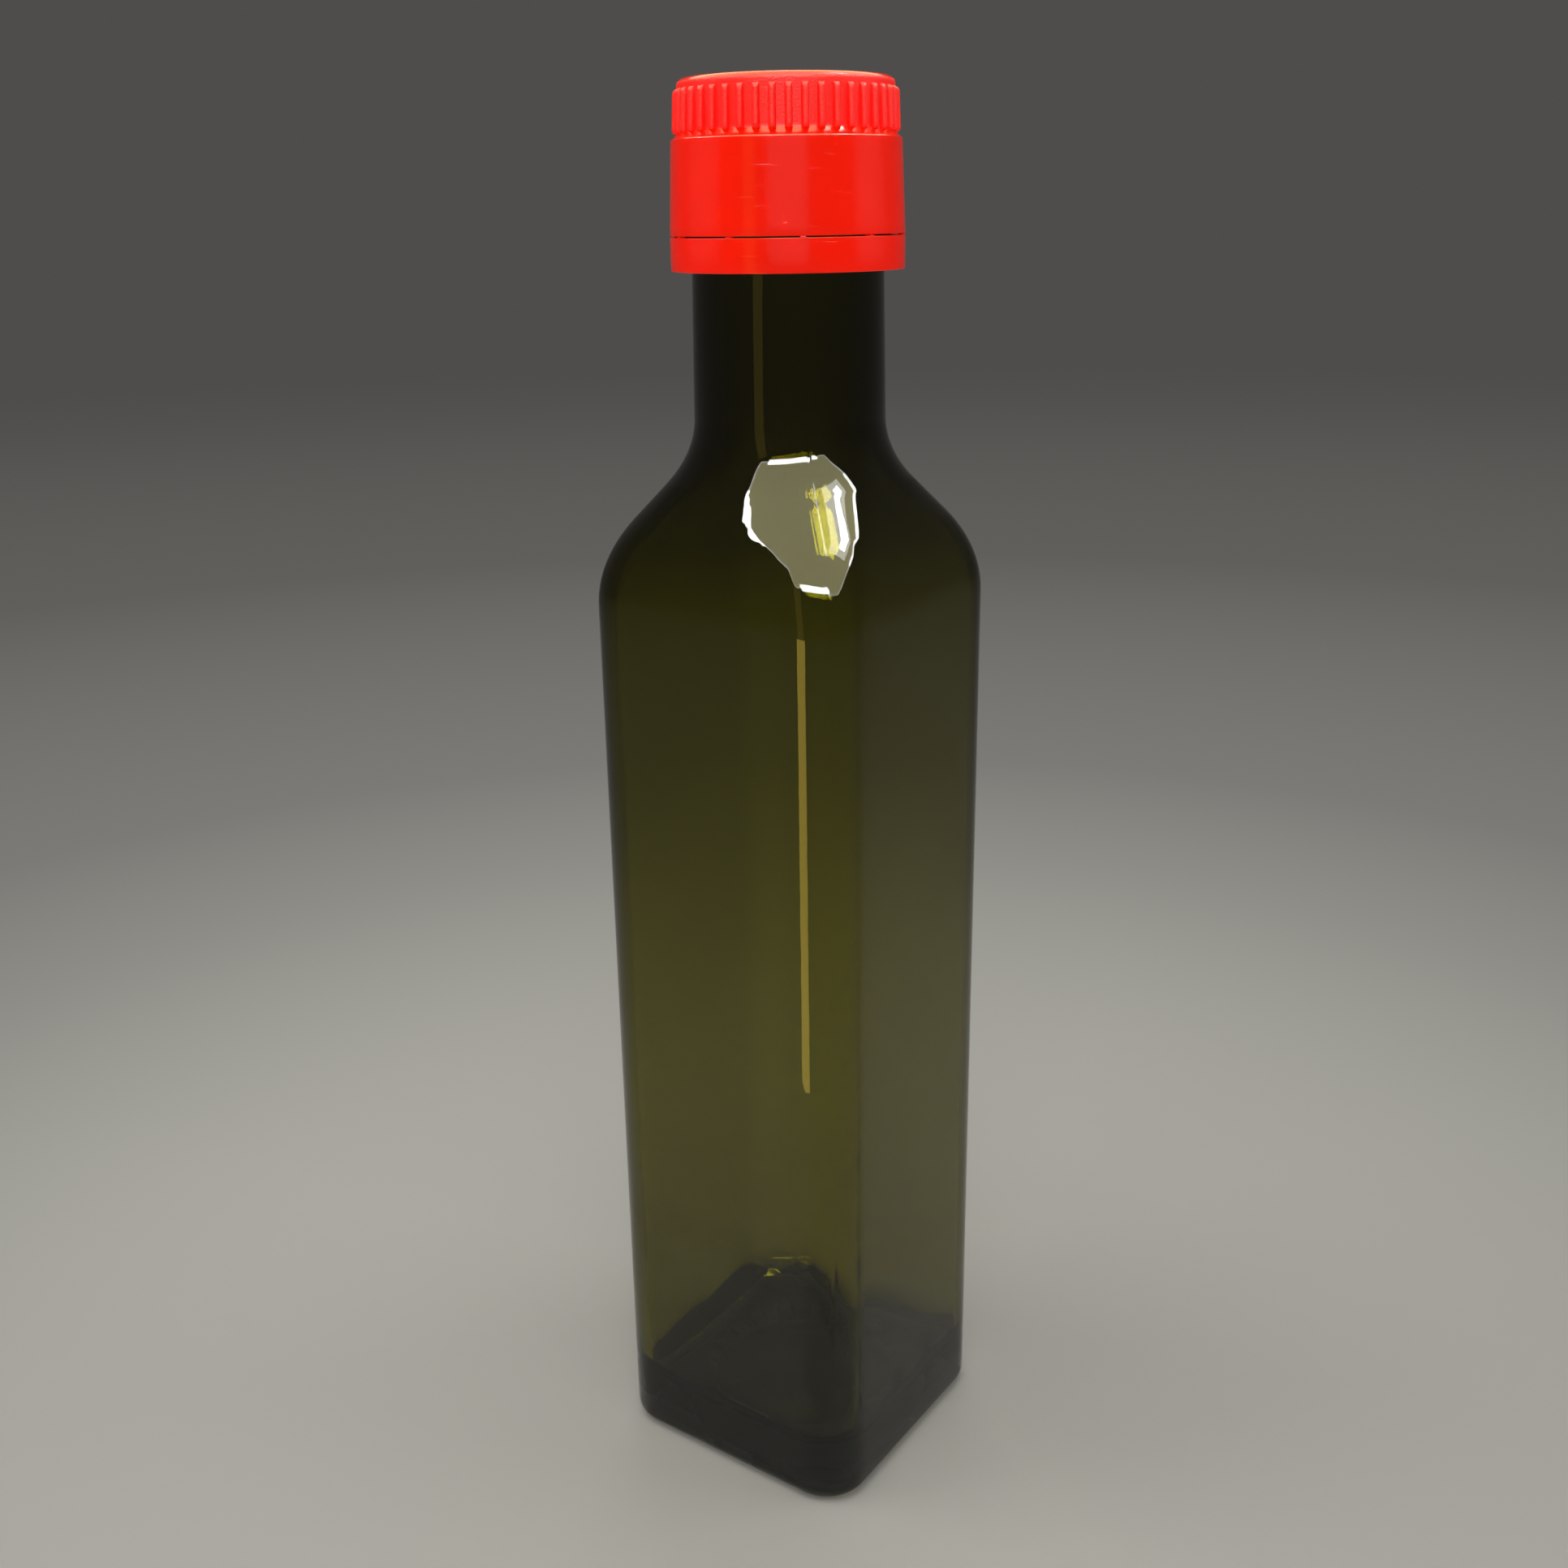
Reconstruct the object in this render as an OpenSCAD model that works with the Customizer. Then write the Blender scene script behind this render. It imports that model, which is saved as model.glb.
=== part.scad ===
// Square glass oil bottle with a pouring insert and a tamper-evident screw cap.
// Millimetres. +Z is up and the origin is at the centre of the base.

/* [Body] */
// Width across the flat sides
body_w = 46.5; // [44:0.5:80]
// Radius of the upright corners
corner_r = 7.7; // [5:0.1:12]
// Height from the base to the start of the shoulder
body_h = 146.5; // [100:0.5:250]
// Radius of the rounded bottom edge
heel_r = 2.5; // [1:0.1:4]
// Glass thickness of the flat sides
wall_t = 2.6; // [1.5:0.1:4]
// Radius of the upright corners inside
inner_corner_r = 4; // [2:0.5:7]
// Glass thickness of the bottom
base_t = 7; // [4:0.5:10]
// Radius between the bottom and the sides inside
inner_heel_r = 6; // [3:0.5:8]
// Radius of the hollow under the base
punt_r = 15; // [8:0.5:16]
// Depth of the hollow under the base
punt_depth = 2; // [0.5:0.1:3]

/* [Shoulder] */
// Slope of the shoulder's straight part, from the vertical
shoulder_angle = 30.7; // [26:0.1:34]
// Radius where the sides turn into the shoulder
shoulder_r = 24.9; // [15:0.1:28]
// Radius where the shoulder turns into the neck
neck_blend_r = 18.7; // [10:0.1:22]

/* [Neck] */
// Radius of the glass between the threads
finish_r = 13.9; // [12.4:0.1:15.6]
// How much wider the neck is where it leaves the shoulder
neck_step = 0.3; // [0.2:0.1:1]
// Wall thickness of the neck
neck_wall = 4; // [3:0.1:4.5]
// Length of the bare neck between the shoulder and the tamper band
neck_len = 20.75; // [12:0.25:40]
// Height of the thread, and of the glass ring above the band's flaps
thread_depth = 1; // [0.9:0.1:1.3]
// Rise of the thread in one turn
thread_pitch = 4; // [3.6:0.1:5]
// Turns of thread on the glass and in the cap
thread_turns = 1.5; // [1:0.1:1.7]
// Height of the thread's start above the cap's lower edge
thread_lift = 3.9; // [3.2:0.1:4.2]
// Axial width of a thread where it leaves its wall
thread_root_w = 1.8; // [1.2:0.1:2]
// Axial width of a thread's crest
thread_crest_w = 0.8; // [0.4:0.1:1]

/* [Cap] */
// Wall thickness of the skirt at its lower edge, and of the tamper band
skirt_wall = 1.67; // [1.5:0.01:3]
// How much narrower the skirt's upper edge is
skirt_taper = 0.51; // [0.2:0.01:0.6]
// Height of the smooth skirt
skirt_h = 12.88; // [12:0.01:20]
// Rounding of the skirt's upper edge
skirt_round = 0.6; // [0.2:0.1:0.8]
// Height of the ribbed crown above the skirt
crown_h = 7.81; // [7.2:0.01:12]
// Wall thickness of the crown between its ribs
crown_wall = 1.3; // [1:0.05:1.45]
// Thickness of the cap's flat top
cap_top_t = 1.4; // [1:0.1:2]
// Rounding of the top edge
top_round = 1; // [0.4:0.1:1.2]
// Height of the sloped ledge between the skirt and the crown
ledge_h = 0.9; // [0.4:0.1:1.5]
// Number of grip ribs
rib_count = 44; // [24:1:52]
// Width of a rib
rib_w = 1; // [0.8:0.1:1.2]
// How far a rib stands out at its foot
rib_depth = 0.87; // [0.5:0.01:0.9]
// How much less it stands out at its top
rib_draft = 0.27; // [0:0.01:0.3]
// How far the bead that holds the liner stands inside the liner's edge
keeper_bite = 0.4; // [0.2:0.05:0.5]

/* [Tamper band] */
// Height of the band
band_h = 4.63; // [4.4:0.01:7]
// Height of the slit between the band and the cap
slit_h = 0.22; // [0.15:0.01:0.6]
// Number of thin bridges across the slit
bridge_count = 10; // [6:1:14]
// Width of a bridge
bridge_w = 0.85; // [0.5:0.05:1.2]
// Height of the flaps that hook under the glass ring
flap_h = 2; // [1.5:0.1:2.4]
// Height of the flaps' foot above the band's lower edge
flap_lift = 0.6; // [0.5:0.1:1]
// Width of the gaps between the flaps
flap_slot_w = 2.2; // [1:0.1:4]

/* [Pouring insert] */
// Length of the plug inside the neck
plug_len = 9; // [6:0.5:12]
// Wall thickness of the plug
plug_wall = 1.2; // [0.8:0.1:1.4]
// Thickness of the flange on the glass rim
flange_t = 1.2; // [0.8:0.1:2]
// Height of the pouring lip above the flange
lip_h = 1.36; // [1:0.01:3]
// Radius of the pouring hole
pour_r = 5.5; // [3:0.1:5.6]
// Thickness of the floor around the pouring hole
web_t = 1; // [0.6:0.1:1.5]
// Depth of that floor's underside below the glass rim
web_depth = 3.4; // [2.5:0.1:4]
// Wall thickness of the spout
spout_wall = 1.4; // [1:0.1:1.8]

/* [Cap liner] */
// Thickness of the sealing disc
liner_t = 1; // [0.6:0.1:2]

/* [Clearances] */
// Radial gap between the glass threads and the cap and band
thread_gap = 0.3; // [0.2:0.05:0.5]
// Axial gap between the tightened threads' flanks
flank_gap = 0.2; // [0.1:0.05:0.4]
// Gap between faces that press on each other
seat_gap = 0.02; // [0.01:0.01:0.05]
// Radial gap around the sealing disc
liner_gap = 0.3; // [0.1:0.05:0.4]
// Radial gap between the crown's inside and the threaded glass below it
crown_gap = 0.1; // [0.05:0.05:0.2]
// Radial gap between the crown's inside and the glass rim
rim_gap = 0.6; // [0.3:0.1:0.9]
// Step inwards that keeps the neck inside the round glass above it, under the band
loft_step = 0.15; // [0.1:0.01:0.2]

/* [Hidden] */
// Fineness of the curves, and small values that keep cuts and joins clean.
$fn = 96;
corner_steps = 10;
arc_steps = 6;
thread_step = 10;
thread_fade = 40;
sink = 0.3;
overlap = 1;
loft_flat = 0.1;

// Where the first bridge and the first rib stand, in degrees.
bridge_phase = 24;
rib_phase = 3.4;
rib_facets = 24;

// Shoulder: convex arc, straight slope and concave arc, from the sides to the neck.
body_a = body_w / 2;
neck_r = finish_r + neck_step;
bore_r = neck_r - neck_wall;
slope_run = body_a - neck_r - (shoulder_r + neck_blend_r) * (1 - cos(shoulder_angle));
slope_len = slope_run / sin(shoulder_angle);
shoulder_h = (shoulder_r + neck_blend_r) * sin(shoulder_angle) + slope_len * cos(shoulder_angle);

// Small steps and roundings that go with the pieces above.
crown_step = 0.2;
finish_foot = 0.3;
ring_h = 2.4;
ring_slope = 0.5;
rim_round = 0.6;
keeper_h = 0.4;
flange_inset = 0.2;

// Heights, from the base up.
neck_z = body_h + shoulder_h;
band_z = neck_z + neck_len;
skirt_z = band_z + band_h + slit_h;
ledge_z = skirt_z + skirt_h;
top_z = ledge_z + crown_h;
ceiling_z = top_z - cap_top_t;
liner_z = ceiling_z - seat_gap - liner_t;
spout_z = liner_z - seat_gap;
rim_z = spout_z - lip_h - flange_t;
crown_step_z = ledge_z - crown_step;

// The glass ring stands just over the flaps, and the finish starts just under them.
finish_z = band_z + finish_foot;
flap_z = band_z + flap_lift;
ring_z = flap_z + flap_h + thread_gap;
thread_z = skirt_z + thread_lift;

// Radii that fit over or into one another.
thread_r = finish_r + thread_depth;
skirt_in_r = thread_r + thread_gap;
cap_r = skirt_in_r + skirt_wall;
skirt_top_r = cap_r - skirt_taper;
cap_thread_r = finish_r + thread_gap;
crown_in_r = finish_r + crown_gap;
crown_r = crown_in_r + crown_wall;
rim_r = crown_in_r - rim_gap;
liner_r = crown_in_r - liner_gap;
keeper_r = liner_r - keeper_bite;
plug_r = bore_r - seat_gap;
plug_in_r = plug_r - plug_wall;
flange_r = rim_r - flange_inset;
web_z = rim_z - web_depth;

// How far the cap's thread lies below the glass one, so that flank_gap parts their flanks.
thread_drop = flank_gap + thread_crest_w
    + (thread_root_w - thread_crest_w) / 2 * (thread_r - cap_thread_r) / (thread_r - finish_r + sink);

// Points on an arc in a profile: centre, radius, first and last angle.
function arc(x, z, r, from, to) =
    [for (i = [0:arc_steps]) let (t = from + (to - from) * i / arc_steps) [x + r * cos(t), z + r * sin(t)]];

// One rounded-square ring of points at height z: half-width a and corner radius r.
function square_ring(z, a, r) =
    [for (side = [0:3], i = [0:corner_steps])
        let (t = 90 * (side + i / corner_steps), middle = 90 * side + 45, d = (a - r) * sqrt(2))
        [d * cos(middle) + r * cos(t), d * sin(middle) + r * sin(t), z]];

// Shoulder profile as [height, half-width, slope from the vertical].
function shoulder_profile() = concat(
    [for (i = [0:arc_steps]) let (t = shoulder_angle * i / arc_steps)
        [body_h + shoulder_r * sin(t), body_a - shoulder_r * (1 - cos(t)), t]],
    [for (i = [0:arc_steps]) let (t = shoulder_angle * (1 - i / arc_steps))
        [neck_z - neck_blend_r * sin(t), neck_r + neck_blend_r * (1 - cos(t)), t]]);

// How far a half-width has gone from the sides (0) to the neck (1).
function share(a) = (body_a - a) / (body_a - neck_r);

function mix(from, to, t) = from + (to - from) * t;

// Closed solid through a list of rings that have the same number of points.
module loft(rings) {
    n = len(rings[0]);
    top = n * (len(rings) - 1);
    polyhedron(
        points = [for (ring = rings) each ring],
        faces = concat(
            [[for (i = [0:n - 1]) i]],
            [for (k = [0:len(rings) - 2], i = [0:n - 1])
                [k * n + i, (k + 1) * n + i, (k + 1) * n + (i + 1) % n]],
            [for (k = [0:len(rings) - 2], i = [0:n - 1])
                [k * n + i, (k + 1) * n + (i + 1) % n, k * n + (i + 1) % n]],
            [[for (i = [n - 1:-1:0]) top + i]]));
}

// A ring that is round but for a short flat on each side, so that all rings match.
function round_ring(z, r) = square_ring(z, r, r - loft_flat);

// Corner radius inside at the bottom, which grows with the inset so that the bottom is bowl-shaped.
function bowl_corner(inset) = min(inner_corner_r + inset, body_a - wall_t - inset - loft_flat);

// Outer glass from the base to the top of the bare neck: square below, round above.
module glass_outside() {
    loft(concat(
        [for (i = [0:arc_steps]) let (t = 90 * i / arc_steps, inset = heel_r * (1 - sin(t)))
            square_ring(heel_r * (1 - cos(t)), body_a - inset, corner_r - inset)],
        [for (p = shoulder_profile())
            square_ring(p[0], p[1], mix(corner_r, neck_r - loft_flat, share(p[1])))],
        [round_ring(finish_z + overlap, finish_r - loft_step)]));
}

// Room for the oil from the bottom to the top of the bare neck.
module glass_inside() {
    loft(concat(
        [for (i = [0:arc_steps])
            let (t = 90 * i / arc_steps, inset = inner_heel_r * (1 - sin(t)))
            square_ring(base_t + inner_heel_r * (1 - cos(t)), body_a - wall_t - inset,
                bowl_corner(inset))],
        [for (p = shoulder_profile())
            let (s = share(p[1]), wall = mix(wall_t, neck_wall, s))
            square_ring(p[0] - wall * sin(p[2]), p[1] - wall * cos(p[2]),
                mix(inner_corner_r, bore_r - loft_flat, s))],
        [round_ring(finish_z + overlap, bore_r - loft_step)]));
}

// Solid top of the neck, with the ring over the tamper band and the plain rim.
module finish_outside() {
    rotate_extrude() polygon(concat(
        [[0, finish_z], [finish_r, finish_z], [finish_r, ring_z],
         [thread_r, ring_z + ring_slope], [thread_r, ring_z + ring_h - ring_slope],
         [finish_r, ring_z + ring_h], [finish_r, crown_step_z - overlap],
         [rim_r, crown_step_z - overlap + finish_r - rim_r]],
        arc(rim_r - rim_round, rim_z - rim_round, rim_round, 0, 90),
        [[0, rim_z]]));
}

// Right-handed ridge from radius root (sunk into its wall) to radius crest.
module thread_ridge(root, crest, z) {
    turn = 360 * thread_turns;
    out = sign(crest - root);
    loft([for (t = [0:thread_step:turn])
        let (rise = min(1, t / thread_fade, (turn - t) / thread_fade),
            tip = mix(root - out * sink / 2, crest, rise), wall = root - out * sink,
            inner = min(tip, wall), outer = max(tip, wall),
            inner_w = (out > 0 ? thread_root_w : thread_crest_w) / 2,
            outer_w = (out > 0 ? thread_crest_w : thread_root_w) / 2,
            mid = z + thread_pitch * t / 360)
        [for (p = [[inner, -inner_w], [inner, inner_w], [outer, outer_w], [outer, -outer_w]])
            [p[0] * cos(t), p[0] * sin(t), mid + p[1]]]]);
}

module bottle() {
    punt_ball_r = (punt_r * punt_r + punt_depth * punt_depth) / (2 * punt_depth);
    color([0.19, 0.18, 0.02, 0.7])
    difference() {
        union() {
            glass_outside();
            finish_outside();
            thread_ridge(finish_r, thread_r, thread_z);
        }
        glass_inside();
        translate([0, 0, finish_z]) cylinder(r = bore_r, h = rim_z - finish_z + overlap);
        translate([0, 0, punt_depth - punt_ball_r]) sphere(r = punt_ball_r);
    }
}

// Plug in the neck, flange on the rim, floor with the pouring hole and a flared lip.
module pourer_insert() {
    foot_taper = 0.6;
    foot_lead = 1;
    lip_inset = 1;
    lip_flare = 0.6;
    lip_t = 0.8;
    lip_r = plug_r - lip_inset;
    spout_neck_r = lip_r - lip_flare;
    spout_in_r = spout_neck_r - spout_wall;
    color("white")
    rotate_extrude() polygon([
        [plug_in_r, rim_z - plug_len], [plug_r - foot_taper, rim_z - plug_len],
        [plug_r, rim_z - plug_len + foot_lead], [plug_r, rim_z], [flange_r, rim_z],
        [flange_r, rim_z + flange_t], [spout_neck_r, rim_z + flange_t],
        [spout_neck_r, rim_z + flange_t + lip_h / 3], [lip_r, spout_z], [lip_r - lip_t, spout_z],
        [spout_in_r, rim_z + flange_t], [spout_in_r, web_z + web_t], [pour_r, web_z + web_t],
        [pour_r, web_z], [plug_in_r, web_z]]);
}

module cap_liner() {
    color("ivory")
    translate([0, 0, liner_z]) cylinder(r = liner_r, h = liner_t);
}

// Half-round grip ribs, drafted and rounded over at their tops.
module grip_ribs() {
    foot_lift = 0.1;
    head_round = 0.6;
    foot_z = ledge_z + foot_lift;
    head_z = ceiling_z;
    foot_r = crown_r + rib_depth;
    head_r = foot_r - rib_draft;
    intersection() {
        for (i = [0:rib_count - 1])
            rotate([0, 0, rib_phase + 360 * i / rib_count])
            translate([foot_r - rib_w / 2, 0, foot_z])
            cylinder(d = rib_w, h = head_z - foot_z, $fn = rib_facets);
        rotate_extrude() polygon(concat(
            [[crown_in_r, foot_z - overlap], [foot_r, foot_z - overlap]],
            arc(head_r - head_round, head_z - head_round, head_round, 0, 90),
            [[crown_in_r, head_z]]));
    }
}

module screw_cap() {
    skirt_turn = 60;
    color("red")
    union() {
        rotate_extrude() polygon(concat(
            [[skirt_in_r, skirt_z], [cap_r, skirt_z]],
            arc(skirt_top_r - skirt_round, ledge_z - skirt_round, skirt_round, 0, skirt_turn),
            [[crown_r, ledge_z + ledge_h]],
            arc(crown_r - top_round, top_z - top_round, top_round, 0, 90),
            [[0, top_z], [0, ceiling_z], [crown_in_r, ceiling_z],
             [crown_in_r, liner_z - seat_gap], [keeper_r, liner_z - seat_gap - keeper_h / 2],
             [crown_in_r, liner_z - seat_gap - keeper_h], [crown_in_r, crown_step_z],
             [skirt_in_r, crown_step_z - (skirt_in_r - crown_in_r) / 2]]));
        grip_ribs();
        thread_ridge(skirt_in_r, cap_thread_r, thread_z - thread_drop);
    }
}

// Band under the cap, with flaps that hook below the glass ring and bridges on top.
module tamper_band() {
    bridge_d = 0.9;
    flap_in_r = finish_r + thread_gap;
    color("red")
    union() {
        translate([0, 0, band_z]) difference() {
            cylinder(r = cap_r, h = band_h);
            translate([0, 0, -overlap]) cylinder(r = skirt_in_r, h = band_h + 2 * overlap);
        }
        difference() {
            rotate_extrude() polygon([
                [flap_in_r, flap_z + flap_h / 2], [skirt_in_r + sink, flap_z],
                [skirt_in_r + sink, flap_z + flap_h], [flap_in_r, flap_z + flap_h]]);
            for (i = [0:bridge_count - 1])
                rotate([0, 0, bridge_phase + 360 * (i + 0.5) / bridge_count])
                translate([flap_in_r - overlap, -flap_slot_w / 2, flap_z - overlap])
                cube([skirt_in_r - flap_in_r + overlap, flap_slot_w, flap_h + 2 * overlap]);
        }
        for (i = [0:bridge_count - 1])
            rotate([0, 0, bridge_phase + 360 * i / bridge_count])
            translate([cap_r - bridge_d - seat_gap, -bridge_w / 2, band_z + band_h - sink])
            cube([bridge_d, bridge_w, slit_h + sink - seat_gap]);
    }
}

bottle();
pourer_insert();
cap_liner();
screw_cap();
tamper_band();
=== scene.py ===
# A square dark-green glass oil bottle with a pouring insert and a red screw cap, in a plain studio.
import math

import bmesh
import bpy
from mathutils import Matrix, Vector, noise


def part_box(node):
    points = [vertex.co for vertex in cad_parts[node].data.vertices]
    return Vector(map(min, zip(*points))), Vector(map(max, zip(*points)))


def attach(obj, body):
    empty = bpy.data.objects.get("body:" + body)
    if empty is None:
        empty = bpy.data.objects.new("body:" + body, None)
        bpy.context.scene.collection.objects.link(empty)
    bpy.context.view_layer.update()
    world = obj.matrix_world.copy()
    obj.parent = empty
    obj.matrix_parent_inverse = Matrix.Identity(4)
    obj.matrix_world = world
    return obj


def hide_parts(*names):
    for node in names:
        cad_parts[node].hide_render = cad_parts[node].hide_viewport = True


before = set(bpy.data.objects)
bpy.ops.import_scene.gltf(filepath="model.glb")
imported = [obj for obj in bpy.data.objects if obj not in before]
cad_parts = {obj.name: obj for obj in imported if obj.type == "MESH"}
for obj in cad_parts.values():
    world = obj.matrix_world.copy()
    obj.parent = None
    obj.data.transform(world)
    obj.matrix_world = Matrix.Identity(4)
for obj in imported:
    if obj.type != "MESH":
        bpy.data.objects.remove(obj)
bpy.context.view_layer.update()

MM = 0.001

# The sockets of a Mix node that mixes colours, which share their names with others on it.
MIX_A, MIX_B, MIX_RESULT = 6, 7, 2

# ---------------------------------------------------------------- sizes, in metres
GLASS_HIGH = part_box("bottle")[1]
CAP_LOW, CAP_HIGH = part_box("screw_cap")
BAND_LOW, BAND_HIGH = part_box("tamper_band")
POUR_LOW, POUR_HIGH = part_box("pourer_insert")
LINER_LOW, LINER_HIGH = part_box("cap_liner")

# The glass body.
BODY_HALF = GLASS_HIGH.x
RIM_Z = GLASS_HIGH.z
BODY_Z = 146.5 * MM
CORNER_R = 7.7 * MM
HEEL_R = 2.5 * MM
WALL = 2.6 * MM
INNER_CORNER_R = CORNER_R - WALL
BASE = 7 * MM
INNER_HEEL_R = 6 * MM
FLOOR_RISE = 0.8 * MM
FLOOR_RISE_R = 12 * MM
PUNT_R = 15 * MM
PUNT_DEPTH = 2 * MM

# The mould's parting line: two faint ridges up opposite corners, the first one towards the camera. Each
# has its height, and its spread round the axis in radians.
SEAM_TURNS = (math.radians(315), math.radians(135))
SEAM_H = 0.07 * MM
SEAM_SPREAD = 0.011

# The shoulder's two arcs and the slope between them.
SLOPE = math.radians(30.7)
SHOULDER_R = 24.9 * MM
BLEND_R = 18.7 * MM

# The neck and its finish.
NECK_R = 14.2 * MM
FINISH_R = 13.9 * MM
BORE_R = 10.2 * MM
THREAD_R = 14.9 * MM
THREAD_PITCH = 4 * MM
THREAD_TURNS = 1.5
THREAD_ROOT_W = 1.8 * MM
THREAD_CREST_W = 0.8 * MM
THREAD_SINK = 0.3 * MM
THREAD_LIFT = 3.9 * MM
THREAD_FADE_TURNS = 0.11
THREAD_GAP = 0.3 * MM
FLANK_GAP = 0.2 * MM
RING_LIFT = 2.9 * MM
RING_H = 2.4 * MM
RING_SLOPE_H = 0.7 * MM
RING_BULGE = 0.3 * MM
RIM_R = 13.4 * MM
RIM_H = 3.5 * MM
RIM_ROUND = 0.6 * MM

# The cap.
CAP_R = CAP_HIGH.x
SKIRT_Z = CAP_LOW.z
TOP_Z = CAP_HIGH.z
SKIRT_TOP_R = 16.36 * MM
LEDGE_Z = SKIRT_Z + 12.88 * MM
LEDGE_H = 0.9 * MM
LEDGE_CURVE = 1.45
CROWN_R = 15.3 * MM
CROWN_IN_R = 14 * MM
SKIRT_IN_R = THREAD_R + THREAD_GAP
CAP_TOP_T = 1.4 * MM
RIB_COUNT = 44
RIB_W = 1 * MM
RIB_DEPTH = 0.87 * MM
RIB_DRAFT = 0.27 * MM
RIB_PHASE = math.radians(3.4)
RIB_HEAD_Z = TOP_Z - CAP_TOP_T
RIB_HEAD_ROUND = 0.6 * MM
RIB_FOOT_Z = LEDGE_Z + 0.55 * MM
RIB_FOOT_ROUND = 0.5 * MM

# The tamper band.
BAND_Z = BAND_LOW.z
BAND_TOP = SKIRT_Z - 0.22 * MM
BRIDGE_COUNT = 10
BRIDGE_PHASE = math.radians(24)
BRIDGE_W = 0.85 * MM
BRIDGE_DEPTH = 0.9 * MM
BRIDGE_H = 0.48 * MM
BRIDGE_SET_BACK = 0.02 * MM
FLAP_Z = BAND_Z + 0.6 * MM
FLAP_H = 2 * MM
FLAP_SLOT_W = 2.2 * MM

# The pouring insert: its plug, the flange on the glass rim, the web with the hole, and the spout.
PLUG_R = 10.18 * MM
PLUG_IN_R = 8.98 * MM
PLUG_LEAD = 0.6 * MM
PLUG_LEAD_H = 1 * MM
FLANGE_R = 13.2 * MM
FLANGE_Z = RIM_Z + 1.2 * MM
FLANGE_ROUND = 0.3 * MM
WEB_Z = RIM_Z - 3.4 * MM
WEB_T = 1 * MM
HOLE_R = 5.5 * MM
SPOUT_IN_R = 7.18 * MM
SPOUT_WAIST_R = 8.58 * MM
LIP_R = 9.18 * MM
LIP_W = 0.7 * MM
LIP_ROUND = 0.15 * MM


def mix(start, end, share):
    return start + (end - start) * share


def arc(x, z, radius, start, end, steps=6):
    """Points (x, z) on an arc between two angles in degrees."""
    angles = [math.radians(mix(start, end, i / steps)) for i in range(steps + 1)]
    return [(x + radius * math.cos(a), z + radius * math.sin(a)) for a in angles]


# ---------------------------------------------------------------- mesh tools
def ring_tube(bm, angles, stations, reach):
    """Skins a tube through a stack of rings and closes both of its ends. Each station starts with its
    height, and reach(angle, station) is how far its ring stands from the axis in one direction."""
    made = bmesh.ops.create_circle(bm, segments=len(angles), radius=1)
    way = dict(zip(made["verts"], angles))
    ring = [edge for edge in bm.edges if edge.verts[0] in way and edge.verts[1] in way]
    for number, station in enumerate(stations):
        if number:
            grown = bmesh.ops.extrude_edge_only(bm, edges=ring)["geom"]
            ring = [g for g in grown if isinstance(g, bmesh.types.BMEdge) and g.is_boundary]
            verts = [g for g in grown if isinstance(g, bmesh.types.BMVert)]
            near = {(round(v.co.x, 7), round(v.co.y, 7)): a for v, a in way.items()}
            way = {v: near[round(v.co.x, 7), round(v.co.y, 7)] for v in verts}
        for vert, angle in way.items():
            far = reach(angle, station)
            vert.co = (far * math.cos(angle), far * math.sin(angle), station[0])
    ends = [edge for edge in bm.edges if edge.is_boundary]
    caps = bmesh.ops.holes_fill(bm, edges=ends, sides=0)["faces"]
    bmesh.ops.poke(bm, faces=caps)


def lathe(bm, outline, steps, start=0.0, turn=math.tau, rise=0.0, closed=True):
    """Spins an outline of (radius, z) points about the upright axis and lifts it by the rise on its way.
    Less or more than one whole turn gets a flat face at each end."""
    whole = turn == math.tau
    verts = [bm.verts.new((r * math.cos(start), r * math.sin(start), z)) for r, z in outline]
    after = verts[1:] + (verts[:1] if closed else [])
    edges = [bm.edges.new(pair) for pair in zip(verts, after)]
    if not whole:
        bm.faces.new(verts)
    made = bmesh.ops.spin(bm, geom=verts + edges, cent=(0, 0, 0), axis=(0, 0, 1),
                          dvec=(0, 0, rise / steps), angle=turn, steps=steps, use_merge=whole,
                          use_duplicate=False)
    if not whole:
        last = [g for g in made["geom_last"] if isinstance(g, bmesh.types.BMEdge)]
        bmesh.ops.edgeloop_fill(bm, edges=last)


def finish_mesh(name, bm, materials, sharp=40):
    """Makes a smooth-shaded object from a bmesh. Edges that bend by more than sharp degrees stay sharp."""
    bmesh.ops.remove_doubles(bm, verts=bm.verts, dist=0.001 * MM)
    bmesh.ops.recalc_face_normals(bm, faces=bm.faces)
    for face in bm.faces:
        face.smooth = True
    for edge in bm.edges:
        edge.smooth = edge.calc_face_angle(0) < math.radians(sharp)
    mesh = bpy.data.meshes.new(name)
    bm.to_mesh(mesh)
    bm.free()
    for material in materials:
        mesh.materials.append(material)
    made = bpy.data.objects.new(name, mesh)
    bpy.context.scene.collection.objects.link(made)
    return made


def make_piece(name, bm, materials, body, node, sharp=40):
    """Makes a piece from a bmesh, which stands for a CAD node and rides on its body."""
    piece = finish_mesh(name, bm, materials, sharp)
    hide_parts(node)
    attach(piece, body)


# ---------------------------------------------------------------- materials
def linear(colour):
    """An sRGB hex colour such as "c81e14" as linear RGBA."""
    parts = [int(colour[i:i + 2], 16) / 255 for i in (0, 2, 4)]
    return (*[p / 12.92 if p <= 0.04045 else ((p + 0.055) / 1.055) ** 2.4 for p in parts], 1)


def add_node(tree, kind, settings=None, links=None):
    """Adds a node, sets its properties and inputs, and links its inputs to the given sockets. An input
    goes by its name or its number."""
    added = tree.nodes.new(kind)
    for name, value in (settings or {}).items():
        if isinstance(name, str) and hasattr(added, name):
            setattr(added, name, value)
        else:
            added.inputs[name].default_value = value
    for name, socket in (links or {}).items():
        tree.links.new(socket, added.inputs[name])
    return added


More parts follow.
